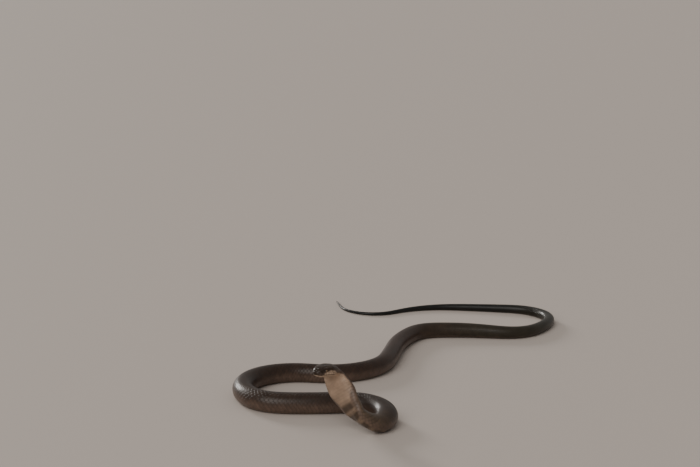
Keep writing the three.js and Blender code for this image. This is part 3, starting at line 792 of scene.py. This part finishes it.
def make_scutes(material):
    u = SCUTE_ROWS[:, None]
    v = np.sin(np.linspace(-1, 1, SCUTE_COLUMNS) * math.pi / 2)
    corner = (180 - BELLY_CORNER) / (180 - SCUTE_EDGE + SCUTE_OVERLAP)
    for side in (1, -1):
        v[np.abs(v - side * corner).argmin()] = side * corner
    s0 = ring_places(BODY_LENGTH + FIRST_SCUTE * HEAD_LENGTH, TAIL_START)[:, None, None]
    period = look_up(PERIODS, s0)
    ends = 1 - SCUTE_SHORT * np.abs(v) ** 6 * u
    s = s0 + (SCUTE_ROOT - (SCUTE_ROOT + SCUTE_TIP) * u * ends - SCUTE_BOW * (1 - v**2)) * period
    s = np.maximum(s, TAIL_END)
    angle = np.broadcast_to(np.radians(180 - (180 - SCUTE_EDGE + SCUTE_OVERLAP) * v), s.shape)
    rise = SCUTE_RISE * ((1 + ROOT_SINK) * u - ROOT_SINK)
    upper = rise - SCUTE_DROP[:, None] - SCUTE_SIDE_DROP * np.abs(v) ** 8
    upper = upper * thickness_share(s0) - COAT_DEPTH
    lower = upper - SCUTE_THICK * thickness_share(s0)
    points = np.stack([surface(s, angle, upper), surface(s, angle, lower)], axis=1)
    count, size = len(s0), 2 * s[0].size
    faces = slab(SCUTE_COLUMNS, len(SCUTE_ROWS))[None] + np.arange(count)[:, None, None] * size
    edge = np.broadcast_to(np.maximum(np.abs(v) ** 6, u**6), s.shape)
    tint = random.uniform(*SCUTE_TINT, (count, 1, 1, 1))
    twice = [np.stack([value, value], axis=1) for value in (s, angle, edge)]
    attributes = marks(twice[0], twice[1], tint, twice[2])
    middle = bake_place(s0, np.full_like(s0, math.pi), s0)
    places = lerp(middle, bake_place(s, angle, s0), SCUTE_PATCH)
    places = np.stack([places, places], axis=1).reshape(-1, 2)
    points = points.reshape(-1, 3)
    piece = make_mesh("belly_scutes", points, [faces.reshape(-1, 4)], material, attributes, places)


# Head shields

PLATE_GAP, PLATE_RISE, PLATE_DOME, PLATE_SUNK = 0.0002, 0.00062, 0.00016, 0.0004
PLATE_RINGS = np.array([0.12, 0.3, 0.5, 0.7, 0.86, 0.95, 1.0])
PLATE_DROP = np.array([0, 0, 0, 0, 0.03, 0.12, 0.34])  # of its rise, at each ring
PLATE_DARK = 5  # the higher, the narrower the dark edge of a plate
PLATE_STEP = 0.0008  # between the points of a plate's outline
PLATE_ROUNDING = 4  # how often its corners are smoothed
CHART_RADIUS = 0.0165  # the head's radius, by which an angle becomes a width
EYELID = 0.0037  # the plates stay this far from the middle of the eye
LIP_GAP = 2.4  # between the line of the mouth and the plates on both sides, in degrees
PLATE_PATCH = 0.92  # of its own size on the unwrap
MEDIAN_LAP = 0.55  # the paired shields are drawn this far past the crown's middle line, in degrees
NOSTRIL_SHADE_SHARE = 0.2  # the nostril's share of its plate, painted as dark as the plates' edges as shade in its hole

# Corners by place along the head and angle from the crown. The frontal's are those of one half of it.
FRONTAL = [(0.785, 0), (0.775, 29), (0.7, 24), (0.56, 21), (0.515, 9), (0.505, 0)]
PAIRED_SHIELDS = {
    "internasal": [(0.958, 0), (0.958, 30), (0.95, 50), (0.9, 50), (0.893, 25), (0.895, 0)],
    "prefrontal": [(0.895, 0), (0.893, 25), (0.9, 50), (0.87, 55), (0.8, 55), (0.775, 29), (0.785, 0)],
    "supraocular": [
        (0.775, 29), (0.8, 55), (0.72, 60), (0.64, 62), (0.58, 58), (0.545, 50), (0.56, 21), (0.7, 24),
    ],
    "parietal": [
        (0.505, 0), (0.515, 9), (0.56, 21), (0.545, 50), (0.49, 56), (0.41, 56), (0.31, 48), (0.29, 28),
        (0.28, 0),
    ],
    "occipital": [(0.28, 0), (0.29, 28), (0.31, 48), (0.25, 51), (0.15, 47), (0.115, 26), (0.11, 0)],
    "nasal": [(0.95, 50), (0.9, 50), (0.87, 55), (0.845, 74), (0.905, 77), (0.955, 77)],
    "preocular": [(0.87, 55), (0.8, 55), (0.72, 60), (0.68, 76), (0.72, 77), (0.845, 74)],
    "postocular_upper": [(0.58, 58), (0.545, 50), (0.525, 55), (0.525, 64), (0.6, 65)],
    "postocular_middle": [(0.6, 65), (0.525, 64), (0.525, 73), (0.6, 73)],
    "postocular_lower": [(0.6, 73), (0.525, 73), (0.52, 82), (0.57, 83), (0.61, 78)],
    "temporal_upper": [(0.525, 55), (0.49, 56), (0.41, 56), (0.4, 69), (0.525, 68)],
    "temporal_lower": [(0.525, 68), (0.4, 69), (0.39, 82), (0.47, 84), (0.52, 82)],
    "nape_temporal_upper": [(0.41, 56), (0.31, 48), (0.27, 54), (0.26, 64), (0.28, 71), (0.4, 69)],
    "nape_temporal_lower": [(0.4, 69), (0.28, 71), (0.26, 82), (0.28, 90), (0.37, 88), (0.39, 82)],
}
# The lips' shields: where each ends at the line of the mouth, and the corners away from it, front to back.
UPPER_LIP_SHIELDS = {
    "ends": [0.962, 0.905, 0.835, 0.7, 0.575, 0.47, 0.37, 0.265],
    "tops": [[(0.955, 77), (0.905, 77)], [(0.905, 77), (0.845, 74)], [(0.845, 74), (0.72, 77), (0.66, 78)],
             [(0.66, 78), (0.61, 78), (0.57, 83)], [(0.57, 83), (0.52, 82), (0.47, 84)],
             [(0.47, 84), (0.39, 82), (0.37, 88)], [(0.37, 88), (0.28, 90), (0.265, 97)]],
}
LOWER_LIP_ENDS = [0.955, 0.9, 0.835, 0.76, 0.67, 0.57, 0.46, 0.36, 0.27]
# The lower lip's shields reach down to this angle, by place along the head.
JAW_INNER = np.array([
    (0.0, 126), (0.27, 132), (0.45, 128), (0.6, 127), (0.75, 130), (0.85, 136), (0.935, 146),
])
CHIN_SHIELDS = {
    "chin_front": [(0.945, 180), (0.935, 150), (0.85, 138), (0.78, 142), (0.765, 180)],
    "chin_rear": [(0.765, 180), (0.78, 142), (0.72, 136), (0.6, 150), (0.595, 180)],
}
# The shields at the tip of each jaw, in a front view of the snout, as shares of its radius.
ROSTRAL = [(0.0, 0.66), (0.3, 0.64), (0.55, 0.5), (0.7, 0.2), (0.72, 0.06), (0.3, 0.05), (0.0, 0.05)]
MENTAL = [(0.0, -0.8), (0.28, -0.74), (0.5, -0.45), (0.56, -0.08), (0.25, -0.06), (0.0, -0.06)]


def to_chart(corners):
    """Place and angle as lengths along and across the head's surface."""
    return np.array(corners, float) * (HEAD_LENGTH, math.radians(1) * CHART_RADIUS)


def from_chart(points):
    return points[..., 0] / HEAD_LENGTH, points[..., 1] / CHART_RADIUS


def from_front(points):
    """Place along the head and angle in radians, of points in the front view of the snout."""
    share = np.clip(np.hypot(points[..., 0], points[..., 1]) / CHART_RADIUS, 0, 1)
    closing = (1 - share**SNOUT_SQUARE) ** (1 / SNOUT_SQUARE)
    return 1 - SNOUT_ROUND * (1 - closing), np.arctan2(points[..., 0], points[..., 1])


def signed_area(outline):
    """Twice the area inside an outline, below zero where it runs clockwise."""
    after = np.roll(outline, -1, axis=0)
    return np.sum(outline[:, 0] * after[:, 1] - after[:, 0] * outline[:, 1])


def rounded_outline(corners, keep_off=None):
    """A close outline with rounded corners, drawn in by half the gap between two shields."""
    dense = []
    for a, b in zip(corners, np.roll(corners, -1, axis=0)):
        steps = max(1, round(np.linalg.norm(b - a) / PLATE_STEP))
        dense += [lerp(a, b, k / steps) for k in range(steps)]
    dense = np.array(dense)
    for _ in range(PLATE_ROUNDING):
        dense = 0.5 * dense + 0.25 * (np.roll(dense, 1, axis=0) + np.roll(dense, -1, axis=0))
    run = np.roll(dense, -1, axis=0) - np.roll(dense, 1, axis=0)
    inward = np.stack([-run[:, 1], run[:, 0]], axis=1) * np.sign(signed_area(dense))
    dense = dense + unit(inward) * PLATE_GAP
    if keep_off is not None:
        away = dense - keep_off
        distance = np.linalg.norm(away, axis=1, keepdims=True)
        dense = keep_off + away * np.maximum(1, EYELID / distance)
    return dense


def plate_grid(outline, middle):
    """Rings from a plate's middle to its outline, and the lift of each."""
    points = middle + (outline - middle) * PLATE_RINGS[:, None, None]
    lifts = PLATE_RISE + PLATE_DOME * (1 - PLATE_RINGS**2) - PLATE_DROP * PLATE_RISE
    return np.concatenate([points, outline[None]]), np.append(lifts, -PLATE_SUNK)


class Shields:
    """Gathers the head's shields into one mesh."""

    def __init__(self):
        self.points, self.faces, self.marks, self.places = [], [], [], []
        self.count = 0

    def add(self, corners, side, front=False, middle=None):
        corners = np.array(corners, float)
        corners = corners * CHART_RADIUS if front else to_chart(corners)
        keep_off = None if front else to_chart([(EYE_PLACE, EYE_ANGLE)])[0]
        if side == 0:
            across = (-1, 1) if front else (1, -1)
            mirrored = (corners * across)[::-1]
            corners = np.vstack([corners, mirrored[1:-1]])
        outline = rounded_outline(corners, keep_off if side else None)
        nostril_shade = 0 if middle is None else 1
        middle = to_chart([middle])[0] if nostril_shade else outline.mean(axis=0)
        grid, lifts = plate_grid(outline, middle)
        read = from_front if front else from_chart
        t, angle = read(grid)
        sign = side or 1
        angle = angle * sign
        lift = np.broadcast_to(lifts[:, None], t.shape) - COAT_DEPTH
        points = head_point(angle, t, lift).reshape(-1, 3)
        mid_t, mid_angle = read(middle)
        mid_angle = mid_angle * sign
        lid = head_point(mid_angle, mid_t, PLATE_RISE + PLATE_DOME - COAT_DEPTH)
        base = head_point(mid_angle, mid_t, -PLATE_SUNK - COAT_DEPTH)
        self.points += [points, lid.reshape(1, 3), base.reshape(1, 3)]
        rows = np.arange(t.size).reshape(t.shape)
        blocks = [ring_quads(rows), fan(t.size, rows[0]), fan(t.size + 1, rows[-1][::-1])]
        flipped = ((signed_area(outline) > 0) == (sign > 0)) != front
        self.faces += [(block[:, ::-1] if flipped else block) + self.count for block in blocks]
        s = BODY_LENGTH + HEAD_GAP + HEAD_LENGTH * np.append(t.ravel(), [mid_t, mid_t])
        angles = np.append(angle.ravel(), [mid_angle, mid_angle])
        shares = np.append(PLATE_RINGS, 1.0)
        # The nostril's hole is painted dark as shade, with the plates' edge colour.
        dark = np.maximum(shares**PLATE_DARK, nostril_shade * (shares <= NOSTRIL_SHADE_SHARE))
        edge = np.append(np.repeat(dark, t.shape[1]), [nostril_shade, 0])
        self.marks.append(marks(s, angles, random.uniform(*SCUTE_TINT), edge))
        chart = np.stack([0.5 + angles / (2 * math.pi), head_share(s)], axis=-1)
        centre = np.array([0.5 + mid_angle / (2 * math.pi), mid_t])
        self.places.append(BAKE_MARGIN + (1 - 2 * BAKE_MARGIN) * (centre + (chart - centre) * PLATE_PATCH))
        self.count += len(points) + 2

    def mesh(self, material):
        by_size = [np.vstack([block for block in self.faces if block.shape[1] == size]) for size in (3, 4)]
        attributes = {key: np.concatenate([mark[key] for mark in self.marks]) for key in self.marks[0]}
        places = np.vstack(self.places)
        piece = make_mesh("head_shields", np.vstack(self.points), by_size, material, attributes, places)


def make_shields(material):
    shields = Shields()
    shields.add(FRONTAL, 0)
    shields.add(ROSTRAL, 0, front=True)
    shields.add(MENTAL, 0, front=True)
    upper = UPPER_LIP_SHIELDS["ends"]
    for side in (1, -1):
        for name, corners in {**PAIRED_SHIELDS, **CHIN_SHIELDS}.items():
            middle = (NOSTRIL_PLACE, NOSTRIL_ANGLE) if name == "nasal" else None
            drawn = [(t, angle or -MEDIAN_LAP) for t, angle in corners]
            shields.add(drawn, side, middle=middle)
        for front, rear, tops in zip(upper, upper[1:], UPPER_LIP_SHIELDS["tops"]):
            lips = [(t, look_up(MOUTH_ANGLES, t) - LIP_GAP) for t in (rear, front)]
            shields.add(tops + lips, side)
        for front, rear in zip(LOWER_LIP_ENDS, LOWER_LIP_ENDS[1:]):
            lips = [(t, look_up(MOUTH_ANGLES, t) + LIP_GAP) for t in (front, rear)]
            ends = [(t, look_up(JAW_INNER, t)) for t in (rear, front)]
            shields.add(lips + ends, side)
    shields.mesh(material)


# Eyes

# Directions as shares outward, forward and up: the eye is sunk against the first and looks along the second.
EYE_OUTWARD = (1, 0.12, 0.3)
EYE_LOOK = (0.93, 0.28, 0.16)
EYE_ROWS, EYE_SIDES = 24, 32
PUPIL, IRIS = (0.33, 0.37), (0.66, 0.8)  # where their edges lie, as shares of the eye's radius
PUPIL_COLOUR, EYE_RIM_COLOUR = (0.002, 0.002, 0.002, 1), linear(16, 11, 8)
IRIS_COLOURS = (linear(56, 35, 17), linear(134, 94, 46))


def eye_material():
    nodes = Nodes("eye")
    ring = nodes.read("ring")
    iris = nodes.mix(nodes.noise(2500.0, 3.0), *IRIS_COLOURS)
    colour = nodes.mix(nodes.span(ring, *PUPIL), PUPIL_COLOUR, iris)
    colour = nodes.mix(nodes.span(ring, *IRIS), colour, EYE_RIM_COLOUR)
    nodes.shade({"Base Color": colour, "Roughness": 0.12, "Coat Weight": 1.0, "Coat Roughness": 0.03})
    return nodes.material


def eye_centre(side):
    at = head_local(np.array(math.radians(EYE_ANGLE) * side), np.array(EYE_PLACE), 0.0)
    at = at - unit(np.array(EYE_OUTWARD) * (side, 1, 1)) * EYE_SINK
    return HEAD_ORIGIN + at @ HEAD_AXES


def make_eye(name, side, material):
    """A ball whose pole looks outward, so that its pupil and iris lie in rings round it."""
    centre = eye_centre(side)
    outward = unit(np.array(EYE_LOOK) * (side, 1, 1) @ HEAD_AXES)
    across = unit(np.cross(outward, HEAD_UP))
    upward = np.cross(across, outward)
    polar = np.linspace(0, math.pi, EYE_ROWS + 1)[1:-1]
    turn = (np.arange(EYE_SIDES) / EYE_SIDES * 2 * math.pi)[None, :, None]
    aside = np.cos(turn) * across + np.sin(turn) * upward
    ring = np.sin(polar)[:, None, None] * aside + np.cos(polar)[:, None, None] * outward
    points = centre + EYE_RADIUS * np.vstack([ring.reshape(-1, 3), outward, -outward])
    grid = np.arange((EYE_ROWS - 1) * EYE_SIDES).reshape(EYE_ROWS - 1, EYE_SIDES)
    faces = [ring_quads(grid), fan(grid.size, grid[0]), fan(grid.size + 1, grid[-1][::-1])]
    rings = np.concatenate([np.repeat(np.sin(np.minimum(polar, math.pi / 2)), EYE_SIDES), [0, 1]])
    piece = make_mesh(name, points, faces, material, {"ring": rings})
    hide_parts(name.replace("_ball", ""))


# Floor, light and camera

FLOOR_COLOUR = linear(190, 180, 172)
FLOOR_SIZE = 40.0
SKY_COLOUR, SKY_STRENGTH = (1.0, 0.96, 0.92, 1), 0.3
# Strength, spread in degrees and direction of each light.
LIGHTS = {"key_light": (1.8, 50, (0.35, 0.72, -0.6)), "side_light": (1.5, 16, (0.6, -0.74, -0.32))}
LIGHT_COLOUR = (1.0, 0.97, 0.93)


def make_stage():
    floor = Nodes("floor")
    floor.shade({"Base Color": FLOOR_COLOUR, "Roughness": 0.8})
    corners = [(x * FLOOR_SIZE, y * FLOOR_SIZE, 0) for x, y in ((-1, -1), (1, -1), (1, 1), (-1, 1))]
    mesh = bpy.data.meshes.new("floor")
    mesh.from_pydata(corners, [], [(0, 1, 2, 3)])
    mesh.materials.append(floor.material)
    plane = add_object("floor", mesh)
    world = bpy.data.worlds.new("soft_light")
    world.use_nodes = True
    sky = world.node_tree.nodes["Background"].inputs
    sky["Color"].default_value, sky["Strength"].default_value = SKY_COLOUR, SKY_STRENGTH
    bpy.context.scene.world = world
    for name, (strength, spread, towards) in LIGHTS.items():
        sun = bpy.data.lights.new(name, "SUN")
        sun.energy, sun.color, sun.angle = strength, LIGHT_COLOUR, math.radians(spread)
        add_object(name, sun).rotation_euler = Vector(towards).to_track_quat("-Z", "Y").to_euler()


CAMERA_PLACE = (-0.16982, -3.860054, 1.1368)
CAMERA_PITCH = 11.534  # downwards, in degrees
CAMERA_ROLL = 1.667
CAMERA_LENS = 76.28
SENSOR = 36.0
CAMERA_REACH = 200


def make_camera():
    pitch, roll = math.radians(CAMERA_PITCH), math.radians(CAMERA_ROLL)
    ahead = Vector((0, math.cos(pitch), -math.sin(pitch)))
    right = Vector((1, 0, 0))
    up = right.cross(ahead)
    side = right * math.cos(roll) + up * math.sin(roll)
    top = up * math.cos(roll) - right * math.sin(roll)
    camera = add_object("camera", bpy.data.cameras.new("camera"))
    camera.data.lens, camera.data.sensor_width = CAMERA_LENS, SENSOR
    camera.data.clip_end = CAMERA_REACH
    axes = Matrix((side, top, -ahead)).transposed().to_4x4()
    camera.matrix_world = Matrix.Translation(CAMERA_PLACE) @ axes
    bpy.context.scene.camera = camera


make_camera()
make_stage()
make_skin(skin_material())
make_scales(scale_material("snake_scales", edge_dark=0.22, roughness=0.42, coat=0.2))
make_scutes(scale_material("snake_scutes", edge_dark=0.25, roughness=0.38, coat=0.12))
make_shields(scale_material("snake_shields", edge_dark=0.6, roughness=0.34, coat=0.15))
eye_look = eye_material()
make_eye("eye_left_ball", -1, eye_look)
make_eye("eye_right_ball", 1, eye_look)
